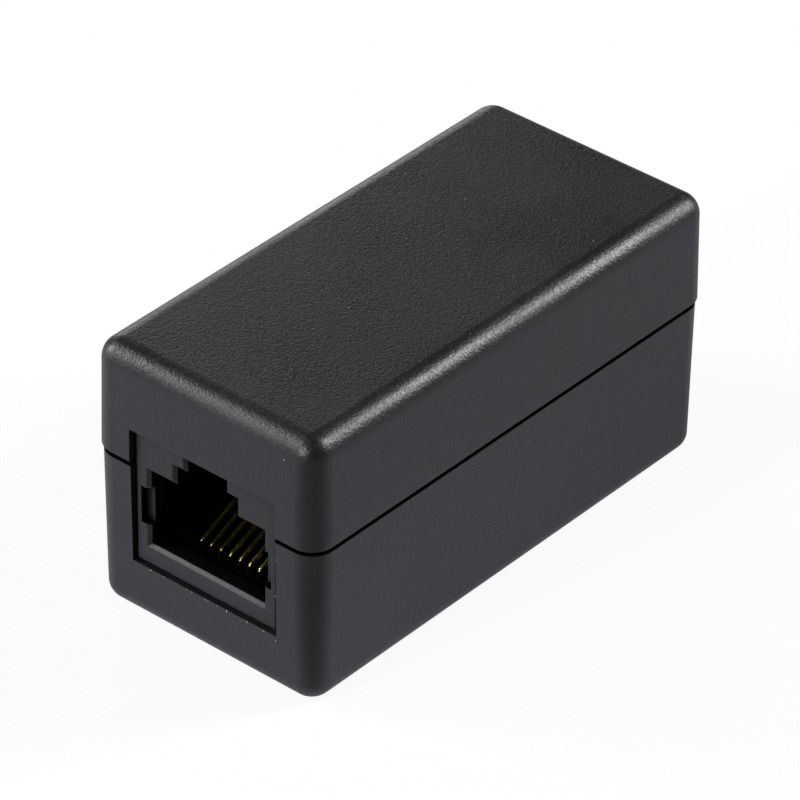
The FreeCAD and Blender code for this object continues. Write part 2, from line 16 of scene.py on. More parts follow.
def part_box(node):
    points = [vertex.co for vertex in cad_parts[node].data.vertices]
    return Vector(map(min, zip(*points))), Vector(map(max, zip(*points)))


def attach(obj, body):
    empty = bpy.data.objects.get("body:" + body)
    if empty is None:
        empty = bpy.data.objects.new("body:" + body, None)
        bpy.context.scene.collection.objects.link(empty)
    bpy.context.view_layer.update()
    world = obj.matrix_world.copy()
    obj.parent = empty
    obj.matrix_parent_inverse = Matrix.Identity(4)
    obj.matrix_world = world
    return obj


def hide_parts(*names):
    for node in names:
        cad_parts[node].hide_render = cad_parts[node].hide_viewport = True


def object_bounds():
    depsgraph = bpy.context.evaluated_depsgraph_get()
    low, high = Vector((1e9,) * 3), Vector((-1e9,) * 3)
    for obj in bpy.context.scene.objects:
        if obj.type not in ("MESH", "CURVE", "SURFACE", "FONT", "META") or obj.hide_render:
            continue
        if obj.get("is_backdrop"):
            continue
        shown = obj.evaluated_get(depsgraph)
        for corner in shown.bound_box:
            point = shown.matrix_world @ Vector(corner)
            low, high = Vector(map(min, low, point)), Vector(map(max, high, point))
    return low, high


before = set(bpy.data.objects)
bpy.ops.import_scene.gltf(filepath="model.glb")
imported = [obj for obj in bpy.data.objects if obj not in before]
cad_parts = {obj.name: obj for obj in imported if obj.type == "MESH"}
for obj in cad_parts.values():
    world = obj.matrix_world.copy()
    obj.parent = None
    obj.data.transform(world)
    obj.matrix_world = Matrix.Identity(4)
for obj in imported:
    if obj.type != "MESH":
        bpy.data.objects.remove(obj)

MM = 0.001
cad_low, cad_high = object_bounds()
CASE_SIZE = cad_high - cad_low
MIDDLE = Vector((0, 0, CASE_SIZE.z / 2))
print("case, mm:", [round(side / MM, 2) for side in CASE_SIZE])

# %% [markdown]
# ## The camera
# A long lens from a little under half a metre away keeps the box's edges nearly parallel. The
# camera stands on a sphere round the part: an azimuth turns it round, an elevation lifts it. Its
# three axes are worked out and put into its matrix, and a small roll about the line of sight
# stands for a tripod that isn't quite level. The shift slides the view without turning it.

# %% Camera
AZIMUTH = math.radians(40.2)
ELEVATION = math.radians(34.88)
ROLL = math.radians(0.8)
DISTANCE = 465.4 * MM
LENS = 260.4           # focal length in mm behind Blender's usual 36 mm sensor
SHIFT = (-0.006, -0.009)
NEAREST = 10 * MM      # what is closer to the camera isn't drawn

back = Vector((
    math.sin(AZIMUTH) * math.cos(ELEVATION),
    -math.cos(AZIMUTH) * math.cos(ELEVATION),
    math.sin(ELEVATION),
))
level_right = Vector((math.cos(AZIMUTH), math.sin(AZIMUTH), 0))
level_up = back.cross(level_right)
right = level_right * math.cos(ROLL) + level_up * math.sin(ROLL)
up = back.cross(right)

camera = bpy.data.objects.new("camera", bpy.data.cameras.new("camera"))
bpy.context.scene.collection.objects.link(camera)
bpy.context.scene.camera = camera
axes = Matrix((right, up, back)).transposed().to_4x4()
camera.matrix_world = Matrix.Translation(MIDDLE + back * DISTANCE) @ axes
camera.data.lens = LENS
camera.data.shift_x, camera.data.shift_y = SHIFT
camera.data.clip_start = NEAREST
print("camera at, mm:", [round(place / MM) for place in camera.location])

# %% [markdown]
# ## Colours and nodes
# Colours are chosen as sRGB hex values, as they would be read off a screen, but shaders count in
# linear light, so one function turns the one into the other. A second small function adds a node
# to a tree with its settings and its links, so that each material reads as a short recipe.

# %% Helpers for materials
def linear(code):
    """A hex colour such as #1c1c1f in linear light, with alpha."""
    channels = [int(code[place:place + 2], 16) / 255 for place in (1, 3, 5)]
    bent = [c / 12.92 if c <= 0.04045 else ((c + 0.055) / 1.055) ** 2.4 for c in channels]
    return (*bent, 1.0)


def node(tree, kind, inputs=None, **settings):
    """Adds a node: inputs maps a socket's name or number to a value or to another node's output."""
    made = tree.nodes.new(kind)
    for name, value in settings.items():
        setattr(made, name, value)
    for socket, value in (inputs or {}).items():
        if isinstance(value, bpy.types.NodeSocket):
            tree.links.new(value, made.inputs[socket])
        else:
            made.inputs[socket].default_value = value
    return made


def new_material(name):
    """An empty node material and its tree."""
    material = bpy.data.materials.new(name)
    material.use_nodes = True
    material.node_tree.nodes.clear()
    return material, material.node_tree


print("middle grey in linear light:", round(linear("#808080")[0], 3))

# %% [markdown]
# ## Floor
# The part stands on a plain white sweep. A real one curves up behind the part, but here a flat
# square does, because the backdrop that the camera sees past its edge is the same white. It lies
# a hair below the part, as two faces in one plane would flicker.

# %% Floor
FLOOR_SIDE = 6.0
FLOOR_GAP = 0.01 * MM

half = FLOOR_SIDE / 2
floor_mesh = bpy.data.meshes.new("floor")
corners = [(-half, -half, 0), (half, -half, 0), (half, half, 0), (-half, half, 0)]
floor_mesh.from_pydata(corners, [], [(0, 1, 2, 3)])
floor = bpy.data.objects.new("floor", floor_mesh)
floor.location.z = -FLOOR_GAP
bpy.context.scene.collection.objects.link(floor)
floor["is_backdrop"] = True
print("floor side, m:", FLOOR_SIDE)

# %% [markdown]
# ## What the camera sees of the floor
# White paint under lamps never quite reaches the white of a screen. More light would get it there
# and spoil the part, so the camera sees a flat white of strength 1 instead, with a share of the
# real paint, which keeps the part's soft shadow. Away from the part the share runs out, and the
# floor meets the backdrop without a line.

# %% Flat white for the camera
FLAT_TO_CAMERA = 0.90              # share of flat white close to the part
SHADOW_REACH = (60 * MM, 250 * MM) # from here the share grows, and there it is full

floor_paint, tree = new_material("white_sweep_paint")
path = node(tree, "ShaderNodeLightPath")
place = node(tree, "ShaderNodeTexCoord").outputs["Object"]
far = node(tree, "ShaderNodeVectorMath", {0: place}, operation="LENGTH").outputs["Value"]
flat_far = node(tree, "ShaderNodeMapRange", {
    "Value": far,
    "From Min": SHADOW_REACH[0],
    "From Max": SHADOW_REACH[1],
    "To Min": FLAT_TO_CAMERA,
    "To Max": 1.0,
}, interpolation_type="SMOOTHSTEP")
to_camera = node(tree, "ShaderNodeMath", {
    0: path.outputs["Is Camera Ray"],
    1: flat_far.outputs["Result"],
}, operation="MULTIPLY")
print("flat white close to the part, share:", FLAT_TO_CAMERA)

# %% [markdown]
# ## What the part mirrors of the floor
# Black plastic mirrors the floor in its upright faces. In reflections the flat white is a dimmer
# one. It is dimmest straight in front of the part's near corner and brightens to either side, so
# that the upright corner mirrors the dark stretch and stays dark between its two sides. It also
# falls off a little towards the back. Both are worked out from the place on the floor alone, so
# they stay where they are when the camera moves.

# %% Shade in the reflections
FLAT_IN_REFLECTIONS = 0.78
MIRRORED_WHITE = 0.66              # strength of the flat white in reflections, beside the part
MIRRORED_SHADE = 0.03              # the same in front of the part
SHADE_SPREAD = (-0.25, 0.85)       # cosines of the angles where the shade begins and is full
FALL_OFF = (1.02, 0.68)            # factors in front of the part and behind it
FALL_OFF_REACH = 30 * MM           # from the middle to where they are reached

mirrored = node(tree, "ShaderNodeMath", {
    0: path.outputs["Is Glossy Ray"],
    1: path.outputs["Is Transmission Ray"],
}, operation="MAXIMUM")
flat_share = node(tree, "ShaderNodeMath", {
    0: mirrored.outputs[0],
    1: FLAT_IN_REFLECTIONS,
    2: to_camera.outputs[0],
}, operation="MULTIPLY_ADD")
near_corner = (CASE_SIZE.x / 2, -CASE_SIZE.y / 2, 0)
from_corner = node(tree, "ShaderNodeVectorMath", {
    0: place,
    1: near_corner,
}, operation="SUBTRACT").outputs[0]
away = node(tree, "ShaderNodeVectorMath", {0: from_corner}, operation="NORMALIZE").outputs[0]
in_front = node(tree, "ShaderNodeVectorMath", {
    0: away,
    1: (math.sin(AZIMUTH), -math.cos(AZIMUTH), 0),
}, operation="DOT_PRODUCT").outputs["Value"]
shaded = node(tree, "ShaderNodeMapRange", {
    "Value": in_front,
    "From Min": SHADE_SPREAD[0],
    "From Max": SHADE_SPREAD[1],
    "To Min": MIRRORED_WHITE,
    "To Max": MIRRORED_SHADE,
}, interpolation_type="SMOOTHSTEP")
towards_back = node(tree, "ShaderNodeSeparateXYZ", {0: place}).outputs["Y"]
falling = node(tree, "ShaderNodeMapRange", {
    "Value": towards_back,
    "From Min": -FALL_OFF_REACH,
    "From Max": FALL_OFF_REACH,
    "To Min": FALL_OFF[0],
    "To Max": FALL_OFF[1],
})
glow = node(tree, "ShaderNodeMath", {
    0: shaded.outputs["Result"],
    1: falling.outputs["Result"],
}, operation="MULTIPLY")
print("mirrored floor, beside and in front:", MIRRORED_WHITE, MIRRORED_SHADE)

# %% [markdown]
# ## The floor's paint
# Light that bounces off the floor meets ordinary white paint. The two flat whites are laid over
# it, each for its own kind of ray. The one in the reflections is a little cool, as white paint in
# shade is.

# %% Floor paint
paint = node(tree, "ShaderNodeBsdfDiffuse", {"Color": linear("#f6f6f6")})
cool_white = node(tree, "ShaderNodeEmission", {
    "Color": linear("#f6f2ff"),
    "Strength": glow.outputs[0],
})
plain_white = node(tree, "ShaderNodeEmission", {"Color": (1, 1, 1, 1), "Strength": 1.0})
flat_white = node(tree, "ShaderNodeMixShader", {
    0: path.outputs["Is Camera Ray"],
    1: cool_white.outputs[0],
    2: plain_white.outputs[0],
})
mixed = node(tree, "ShaderNodeMixShader", {
    0: flat_share.outputs[0],
    1: paint.outputs[0],
    2: flat_white.outputs[0],
})
node(tree, "ShaderNodeOutputMaterial", {"Surface": mixed.outputs[0]})
floor_mesh.materials.append(floor_paint)
print("floor paint nodes:", len(tree.nodes))

# %% [markdown]
# ## Room
# The camera sees a white backdrop behind the part. Everything else meets a nearly dark room, so
# that the lamps and the floor alone draw the form of the part.

# %% Room
ROOM_LEVEL = 0.02            # what the unlit walls of the studio give back

world = bpy.data.worlds.new("studio")
bpy.context.scene.world = world
world.use_nodes = True
tree = world.node_tree
tree.nodes.clear()
path = node(tree, "ShaderNodeLightPath")
walls = node(tree, "ShaderNodeBackground", {"Color": (1, 1, 1, 1), "Strength": ROOM_LEVEL})
backdrop = node(tree, "ShaderNodeBackground", {"Color": (1, 1, 1, 1), "Strength": 1.0})
mixed = node(tree, "ShaderNodeMixShader", {
    0: path.outputs["Is Camera Ray"],
    1: walls.outputs[0],
    2: backdrop.outputs[0],
})
node(tree, "ShaderNodeOutputWorld", {"Surface": mixed.outputs[0]})
bpy.context.scene.view_settings.view_transform = "Standard"
print("room level:", ROOM_LEVEL)

# %% [markdown]
# ## Lamps
# Black plastic shows its lamps more than its own colour, so they decide how the form reads. A
# rounded edge between the top and a side mirrors what stands level with the eye on the far side of
# that edge. So one tall softbox behind the part on the right draws the long bright edge, and
# lights the long side as well. One in front on the left draws the short bright edge and most of
# the glints on the gold wires. A low, weak one behind on the left shines along the top, which gets
# more than half of its light from it. A small, narrow one in front lifts the end face and adds to
# the glints. The lamps give the upright corner about three quarters of what they give the sides.
# It is darker than they are because it mirrors the shaded stretch of floor, which sends it little.

# %% Lamps
LAMP_DISTANCE = 0.6


def softbox(name, azimuth, elevation, width, height, power):
    """An area lamp that faces the part. Its azimuth is counted from +X towards +Y, in degrees."""
    turn, lift = math.radians(azimuth), math.radians(elevation)
    direction = Vector((
        math.cos(turn) * math.cos(lift),
        math.sin(turn) * math.cos(lift),
        math.sin(lift),
    ))
    lamp = bpy.data.objects.new(name, bpy.data.lights.new(name, "AREA"))
    lamp.data.shape = "RECTANGLE"
    lamp.data.size, lamp.data.size_y = width, height
    lamp.data.energy = power
    lamp.data.color = linear("#fbfaff")[:3]
    lamp.location = MIDDLE + direction * LAMP_DISTANCE
    lamp.rotation_euler = (-direction).to_track_quat("-Z", "Y").to_euler()
    bpy.context.scene.collection.objects.link(lamp)
    print(name, "at, mm:", [round(place / MM) for place in lamp.location])


softbox("lamp_behind_right", azimuth=54, elevation=34, width=0.13, height=0.28, power=3.35)
softbox("lamp_behind_left", azimuth=144, elevation=13, width=0.28, height=0.17, power=0.58)
softbox("lamp_front_left", azimuth=210, elevation=26, width=0.15, height=0.38, power=2.8)
softbox("lamp_front", azimuth=262, elevation=25, width=0.05, height=0.17, power=2.0)

# %% [markdown]
# ## What several materials share
# A moulded edge is never as sharp as the CAD solid's: it carries a small radius, which catches a
# thin line of light. Real fillets would do it too, but a bevel node only bends the normal, so the
# mesh stays as it is. The same function lays a bump on top, from any height between 0 and 1.
# Narrow gaps lie in shade, and that shade is painted here: the second function tells how open a
# point lies, and the materials scale their gloss by it, so gaps and hollows mirror less than open
# faces do.

# %% Relief and openness
FULL_SHINE = 0.5             # a shader's usual specular level
# Painted shade: this black stands in the shadow line and deep in the socket.
PAINTED_SHADE_BLACK = "#050505"       # black plastic where next to no light gets out again
NOISE_SPAN = (0.3, 0.7)      # nearly all of a noise pattern's values lie between these
NOISE_CORE = (0.35, 0.65)    # and most of them between these
EDGE_SAMPLES = 6
OPENNESS_SAMPLES = 8


def relief(tree, height, depth, edge_radius):
    """The normal of a surface with rounded edges and a bump of that depth, both in metres."""
    edge = node(tree, "ShaderNodeBevel", {"Radius": edge_radius}, samples=EDGE_SAMPLES)
    return node(tree, "ShaderNodeBump", {
        "Height": height,
        "Distance": depth,
        "Strength": 1.0,
        "Normal": edge.outputs[0],
    }).outputs[0]


# Painted shade: gloss scaled by this fades out in gaps and hollows, where shade falls.
def openness(tree, reach, gap_share, open_share):
    """0 where up to the first share of the room is open within reach, 1 from the second on."""
    seen = node(tree, "ShaderNodeAmbientOcclusion", {"Distance": reach}, samples=OPENNESS_SAMPLES)
    return node(tree, "ShaderNodeMapRange", {
        "Value": seen.outputs["AO"],
        "From Min": gap_share,
        "From Max": open_share,
    }).outputs["Result"]


print("full shine:", FULL_SHINE)

# %% [markdown]
# ## Case: spark-eroded ABS
# The mould of the shells was finished by spark erosion, which leaves a fine, even grain on every
# outer face. On the flats the grain only softens what they mirror. In the rounded edges, where
# the reflection changes quickly, each lump tips it a little, and the bright line breaks up into
# sparkle: that is how the eye tells this finish from a painted one. Real lumps in the mesh would
# take millions of faces, so a noise pattern bends the normal. The grain is drawn twice as coarse
# and nearly three times as deep as a real one of 15 µm, so that it shows at this distance.
# Broad, faint patches change the gloss where the melt cooled at another pace and where hands have
# rubbed it.

# %% Grain and gloss of the case
GRAIN_SIZE = 0.23 * MM
GRAIN_DEPTH = 0.042 * MM
PATCH_SIZE = 9 * MM
GRAIN_ROUGHNESS = (0.33, 0.46)   # in the dips and on the tops of the lumps
PATCH_ROUGHNESS = 0.03           # a patch takes or adds up to this

case_abs, tree = new_material("black_abs_spark_eroded")
where = node(tree, "ShaderNodeTexCoord").outputs["Object"]
grain = node(tree, "ShaderNodeTexNoise", {
    "Vector": where,
    "Scale": 1 / GRAIN_SIZE,
    "Detail": 2.5,
    "Roughness": 0.6,
}).outputs["Fac"]
patches = node(tree, "ShaderNodeTexNoise", {
    "Vector": where,
    "Scale": 1 / PATCH_SIZE,
    "Detail": 2.0,
}).outputs["Fac"]
grain_gloss = node(tree, "ShaderNodeMapRange", {
    "Value": grain,
    "From Min": NOISE_SPAN[0],
    "From Max": NOISE_SPAN[1],
    "To Min": GRAIN_ROUGHNESS[0],
    "To Max": GRAIN_ROUGHNESS[1],
})
patch_gloss = node(tree, "ShaderNodeMapRange", {
    "Value": patches,
    "From Min": NOISE_CORE[0],
    "From Max": NOISE_CORE[1],
    "To Min": -PATCH_ROUGHNESS,
    "To Max": PATCH_ROUGHNESS,
})
gloss = node(tree, "ShaderNodeMath", {
    0: grain_gloss.outputs["Result"],
    1: patch_gloss.outputs["Result"],
}, operation="ADD")
print("case grain, mm:", GRAIN_SIZE / MM)

# %% [markdown]
# ## Colour and dust of the case
# The black wanders between two close shades, after the same patches as the gloss. A few specks of
# dust lie on it, as they do on everything black. They could be pieces of their own, but they are
# far too small to show a shape, so each is a dot of paler colour at the point that a Voronoi cell
# grows from.

# %% Colour and dust of the case
DUST_SPACING = 2.6 * MM
DUST_RADIUS = 0.045 * MM

shade = node(tree, "ShaderNodeMapRange", {
    "Value": patches,
    "From Min": NOISE_SPAN[0],
    "From Max": NOISE_SPAN[1],
})
skin = node(tree, "ShaderNodeMix", {
    0: shade.outputs["Result"],
    6: linear("#19191b"),
    7: linear("#1e1d20"),
}, data_type="RGBA")
dust_field = node(tree, "ShaderNodeTexVoronoi", {"Vector": where, "Scale": 1 / DUST_SPACING})
dust = node(tree, "ShaderNodeMath", {
    0: dust_field.outputs["Distance"],
    1: DUST_RADIUS / DUST_SPACING,
}, operation="LESS_THAN")
dusty_skin = node(tree, "ShaderNodeMix", {
    0: dust.outputs[0],
    6: skin.outputs[2],
    7: linear("#c9c6be"),
}, data_type="RGBA")
print("dust specks, mm across:", 2 * DUST_RADIUS / MM)

# %% [markdown]
# ## Shadow line, and the case as a whole
# The lip in the shadow line between the shells lies in shade, and that shade is painted: a point
# within a fifth of a millimetre of the line's middle, up or down, keeps no gloss and only the
# painted black, so the line stays dark and even along the whole case. ABS has an IOR of 1.53, and
# the shader takes its gloss, its colour and its relief from the patterns above, and from the
# painted shade of gaps and of the shadow line.

# %% Shadow line and case material
SEAM_MIDDLE = 14.75 * MM     # height of the shadow line between the shells
SEAM_SHADE_REACH = 0.22 * MM       # it darkens this far up and down
SEAM_FADE = 0.03 * MM        # and runs out over the last of it
CASE_GAP = 0.8 * MM          # how far a point looks for walls close to it
CASE_OPEN = (0.6, 0.9)       # shares of the room seen, from no gloss to full gloss
CASE_EDGE = 0.05 * MM        # radius of a moulded edge
ABS_IOR = 1.53

level = node(tree, "ShaderNodeSeparateXYZ", {0: where}).outputs["Z"]
above_seam = node(tree, "ShaderNodeMath", {0: level, 1: SEAM_MIDDLE}, operation="SUBTRACT")
from_seam = node(tree, "ShaderNodeMath", {0: above_seam.outputs[0]}, operation="ABSOLUTE")
# Painted shade in the shadow line: 0 within it, where the colour turns to the painted black and the
# gloss goes, 1 outside it.
clear = node(tree, "ShaderNodeMapRange", {
    "Value": from_seam.outputs[0],
    "From Min": SEAM_SHADE_REACH - SEAM_FADE,
    "From Max": SEAM_SHADE_REACH,
}).outputs["Result"]
unshaded_share = node(tree, "ShaderNodeMath", {
    0: openness(tree, CASE_GAP, *CASE_OPEN),
    1: clear,
}, operation="MULTIPLY")
shine = node(tree, "ShaderNodeMath", {
    0: unshaded_share.outputs[0],
    1: FULL_SHINE,
}, operation="MULTIPLY")
colour = node(tree, "ShaderNodeMix", {
    0: clear,
    6: linear(PAINTED_SHADE_BLACK),
    7: dusty_skin.outputs[2],
}, data_type="RGBA")
plastic = node(tree, "ShaderNodeBsdfPrincipled", {
    "Base Color": colour.outputs[2],
    "Roughness": gloss.outputs[0],
    "IOR": ABS_IOR,
    "Specular IOR Level": shine.outputs[0],
    "Normal": relief(tree, grain, GRAIN_DEPTH, CASE_EDGE),
})
node(tree, "ShaderNodeOutputMaterial", {"Surface": plastic.outputs[0]})
print("case material nodes:", len(tree.nodes))

# %% [markdown]
# ## Jack: moulded PBT
# The housings and comb blocks come from a polished mould, so they are smoother than the case.
# Their glass fibres leave short, shallow streaks that run with the flow, along the jack. The
# surface between them is finely pitted. Both are worth little in height but vary the gloss. A
# noise pattern makes the streaks: it is read at places squeezed along the flow, which stretches it.

# %% Streaks and pits of the jack
FIBRE_WIDTH = 0.16 * MM          # drawn far wider than a real fibre of 10 µm, so that it shows
FLOW_SQUEEZE = (1.0, 0.2, 1.0)   # makes a streak five times as long as it is wide
PIT_SIZE = 0.5 * MM

jack_pbt, tree = new_material("black_pbt_glass_filled")
where = node(tree, "ShaderNodeTexCoord").outputs["Object"]
along_flow = node(tree, "ShaderNodeVectorMath", {
    0: where,
    1: FLOW_SQUEEZE,
}, operation="MULTIPLY")
fibres = node(tree, "ShaderNodeTexNoise", {
    "Vector": along_flow.outputs[0],
    "Scale": 1 / FIBRE_WIDTH,
    "Detail": 3.0,
    "Roughness": 0.65,
}).outputs["Fac"]
pits = node(tree, "ShaderNodeTexNoise", {
    "Vector": where,
    "Scale": 1 / PIT_SIZE,
    "Detail": 1.0,
}).outputs["Fac"]
height = node(tree, "ShaderNodeMath", {0: fibres, 1: pits}, operation="MULTIPLY")
print("streaks, mm wide:", FIBRE_WIDTH / MM)

# %% [markdown]
# ## Light that the socket swallows
# Light that falls into the socket is thrown about between black walls and is soon swallowed. With
# one finish all over, the inner walls came out too light, so painted shade makes the plastic darker
# and duller the less of the room it sees. PBT with glass fibres has an IOR of about 1.57.

# %% Jack material
SOCKET_REACH = 15 * MM       # a little more than the socket's width
SOCKET_OPEN = (0.38, 0.72)   # shares of the room seen, from the deep black to the full colour
JACK_GAP = 2.0 * MM
JACK_OPEN = (0.45, 0.95)
JACK_EDGE = 0.18 * MM
STREAK_DEPTH = 0.02 * MM
FIBRE_ROUGHNESS = (0.34, 0.50)
PBT_IOR = 1.57

# Painted shade: the less of the room a point sees, the nearer its colour comes to the painted
# black, and the less gloss it keeps.
sees_room = openness(tree, SOCKET_REACH, *SOCKET_OPEN)
open_and_lit = node(tree, "ShaderNodeMath", {
    0: openness(tree, JACK_GAP, *JACK_OPEN),
    1: sees_room,
}, operation="MULTIPLY")
shine = node(tree, "ShaderNodeMath", {
    0: open_and_lit.outputs[0],
    1: FULL_SHINE,
}, operation="MULTIPLY")
shade = node(tree, "ShaderNodeMapRange", {
    "Value": pits,
    "From Min": NOISE_SPAN[0],
    "From Max": NOISE_SPAN[1],
})
skin = node(tree, "ShaderNodeMix", {
    0: shade.outputs["Result"],
    6: linear("#101012"),
    7: linear("#171618"),
}, data_type="RGBA")
colour = node(tree, "ShaderNodeMix", {
    0: sees_room,
    6: linear(PAINTED_SHADE_BLACK),
    7: skin.outputs[2],
}, data_type="RGBA")
gloss = node(tree, "ShaderNodeMapRange", {
    "Value": fibres,
    "From Min": NOISE_SPAN[0],
    "From Max": NOISE_SPAN[1],
    "To Min": FIBRE_ROUGHNESS[0],
    "To Max": FIBRE_ROUGHNESS[1],
})
plastic = node(tree, "ShaderNodeBsdfPrincipled", {
    "Base Color": colour.outputs[2],
    "Roughness": gloss.outputs["Result"],
    "IOR": PBT_IOR,
    "Specular IOR Level": shine.outputs[0],
    "Normal": relief(tree, height.outputs[0], STREAK_DEPTH, JACK_EDGE),
})
node(tree, "ShaderNodeOutputMaterial", {"Surface": plastic.outputs[0]})
print("jack material nodes:", len(tree.nodes))

# %% [markdown]
# ## Contact wires: a flash of gold on bronze
# The gold over these springs is thin. It was drawn and formed with the wire, so fine lines run
# along it, and it is duller and browner where it has rubbed against the forming tool. Against the
# dark socket only the bends flash, and the long slopes stay a dull brown gold. A metal keeps the
# shader's own IOR: its colour says all about what it mirrors.

# %% Contact material
LINE_WIDTH = 0.05 * MM           # several times as wide as a real one, so that it shows
WIRE_SQUEEZE = (1.0, 0.06, 0.25) # stretches the lines along the wire
LINE_DEPTH = 0.0015 * MM
LINE_ROUGHNESS = (0.20, 0.30)
RUB_SIZE = 0.8 * MM
WIRE_EDGE = 0.02 * MM

gold, tree = new_material("gold_flash_on_bronze")
where = node(tree, "ShaderNodeTexCoord").outputs["Object"]
along_wire = node(tree, "ShaderNodeVectorMath", {
    0: where,
    1: WIRE_SQUEEZE,
}, operation="MULTIPLY")
lines = node(tree, "ShaderNodeTexNoise", {
    "Vector": along_wire.outputs[0],
    "Scale": 1 / LINE_WIDTH,
    "Detail": 2.0,
}).outputs["Fac"]
rubbed = node(tree, "ShaderNodeTexNoise", {
    "Vector": where,
    "Scale": 1 / RUB_SIZE,
    "Detail": 2.0,
}).outputs["Fac"]
worn = node(tree, "ShaderNodeMapRange", {
    "Value": rubbed,
    "From Min": NOISE_CORE[0],
    "From Max": NOISE_CORE[1],
})
colour = node(tree, "ShaderNodeMix", {
    0: worn.outputs["Result"],
    6: linear("#ecd98f"),
    7: linear("#bca968"),
}, data_type="RGBA")
gloss = node(tree, "ShaderNodeMapRange", {
    "Value": lines,
    "From Min": NOISE_SPAN[0],
    "From Max": NOISE_SPAN[1],
    "To Min": LINE_ROUGHNESS[0],
    "To Max": LINE_ROUGHNESS[1],
})
metal = node(tree, "ShaderNodeBsdfPrincipled", {
    "Base Color": colour.outputs[2],
    "Metallic": 1.0,
    "Roughness": gloss.outputs["Result"],
    "Normal": relief(tree, lines, LINE_DEPTH, WIRE_EDGE),
})
node(tree, "ShaderNodeOutputMaterial", {"Surface": metal.outputs[0]})
print("drawn lines, mm wide:", LINE_WIDTH / MM)

# %% [markdown]
# ## Circuit board: glass epoxy under green resist
# The board is hidden in the case, but it can be seen when the case is taken away. Its faces carry
# the weave of the glass cloth, half a millimetre to a strand. Two wave patterns at right angles
# make it, one for each run of the strands, and the higher of the two wins. A third, with its
# bands one above another, makes the plies that show in a sawn edge.

# %% Weave, plies and copper of the board
WAVE_PERIOD = 0.31416        # a wave texture of scale 1 repeats after this length
STRAND = 0.5 * MM
PLY = 0.2 * MM
COPPER_PATCH = 3.5 * MM

laminate, tree = new_material("glass_epoxy_green_resist")
where = node(tree, "ShaderNodeTexCoord").outputs["Object"]
strands = [
    node(tree, "ShaderNodeTexWave", {
        "Vector": where,
        "Scale": WAVE_PERIOD / STRAND,
        "Distortion": 0.6,
    }, bands_direction=direction).outputs["Fac"]
    for direction in "XY"
]
weave = node(tree, "ShaderNodeMath", {0: strands[0], 1: strands[1]}, operation="MAXIMUM")
plies = node(tree, "ShaderNodeTexWave", {
    "Vector": where,
    "Scale": WAVE_PERIOD / PLY,
    "Distortion": 1.0,
}, bands_direction="Z")
copper = node(tree, "ShaderNodeTexNoise", {
    "Vector": where,
    "Scale": 1 / COPPER_PATCH,
    "Detail": 0.0,
})
print("strand and ply, mm:", STRAND / MM, PLY / MM)

# %% [markdown]
# ## Resist and sawn edge
# The resist is glossy and green, and lighter where copper lies beneath. The sawn edges are bare:
# pale and dull, with the plies in lines. Which of the two a point gets depends on the way its face
# looks, so one material does for the whole board.

# %% Board material
COPPER_BORDER = (0.48, 0.52) # noise between these is the border of a patch of copper
SAWN_ROUGHNESS = 0.8
RESIST_ROUGHNESS = 0.28
WEAVE_DEPTH = 0.006 * MM
BOARD_EDGE = 0.05 * MM

over_copper = node(tree, "ShaderNodeMapRange", {
    "Value": copper.outputs["Fac"],
    "From Min": COPPER_BORDER[0],
    "From Max": COPPER_BORDER[1],
})
resist = node(tree, "ShaderNodeMix", {
    0: over_copper.outputs["Result"],
    6: linear("#164a2b"),
    7: linear("#2a6b3c"),
}, data_type="RGBA")
sawn = node(tree, "ShaderNodeMix", {
    0: plies.outputs["Fac"],
    6: linear("#8f8a58"),
    7: linear("#6f6b42"),
}, data_type="RGBA")
facing = node(tree, "ShaderNodeNewGeometry").outputs["Normal"]
upward = node(tree, "ShaderNodeSeparateXYZ", {0: facing}).outputs["Z"]
flat_face = node(tree, "ShaderNodeMath", {0: upward}, operation="ABSOLUTE").outputs[0]
colour = node(tree, "ShaderNodeMix", {
    0: flat_face,
    6: sawn.outputs[2],
    7: resist.outputs[2],
}, data_type="RGBA")
gloss = node(tree, "ShaderNodeMapRange", {
    "Value": flat_face,
    "To Min": SAWN_ROUGHNESS,
    "To Max": RESIST_ROUGHNESS,
})
board = node(tree, "ShaderNodeBsdfPrincipled", {
    "Base Color": colour.outputs[2],
    "Roughness": gloss.outputs["Result"],
    "Normal": relief(tree, weave.outputs[0], WEAVE_DEPTH, BOARD_EDGE),
})
node(tree, "ShaderNodeOutputMaterial", {"Surface": board.outputs[0]})
print("board material nodes:", len(tree.nodes))

# %% [markdown]
# ## Solder: tin with a trace of flux
# Tin freezes in grains, each with a gloss of its own, so the pads look faintly scaly: a Voronoi
# pattern has just such cells. A thin brownish film of flux is left in patches between them, and
# under it the metal is a little less of a metal to the eye.

# %% Solder material
CRYSTAL = 0.22 * MM
CRYSTAL_RIM = 0.8            # the pattern's distance at the rim of a crystal
CRYSTAL_ROUGHNESS = (0.18, 0.42)
CRYSTAL_DEPTH = 0.012 * MM
FLUX_PATCH = 0.7 * MM
FLUX_BORDER = (0.55, 0.65)   # noise between these is the border of a patch of flux
FILMED_METALLIC = 0.7
SOLDER_EDGE = 0.06 * MM

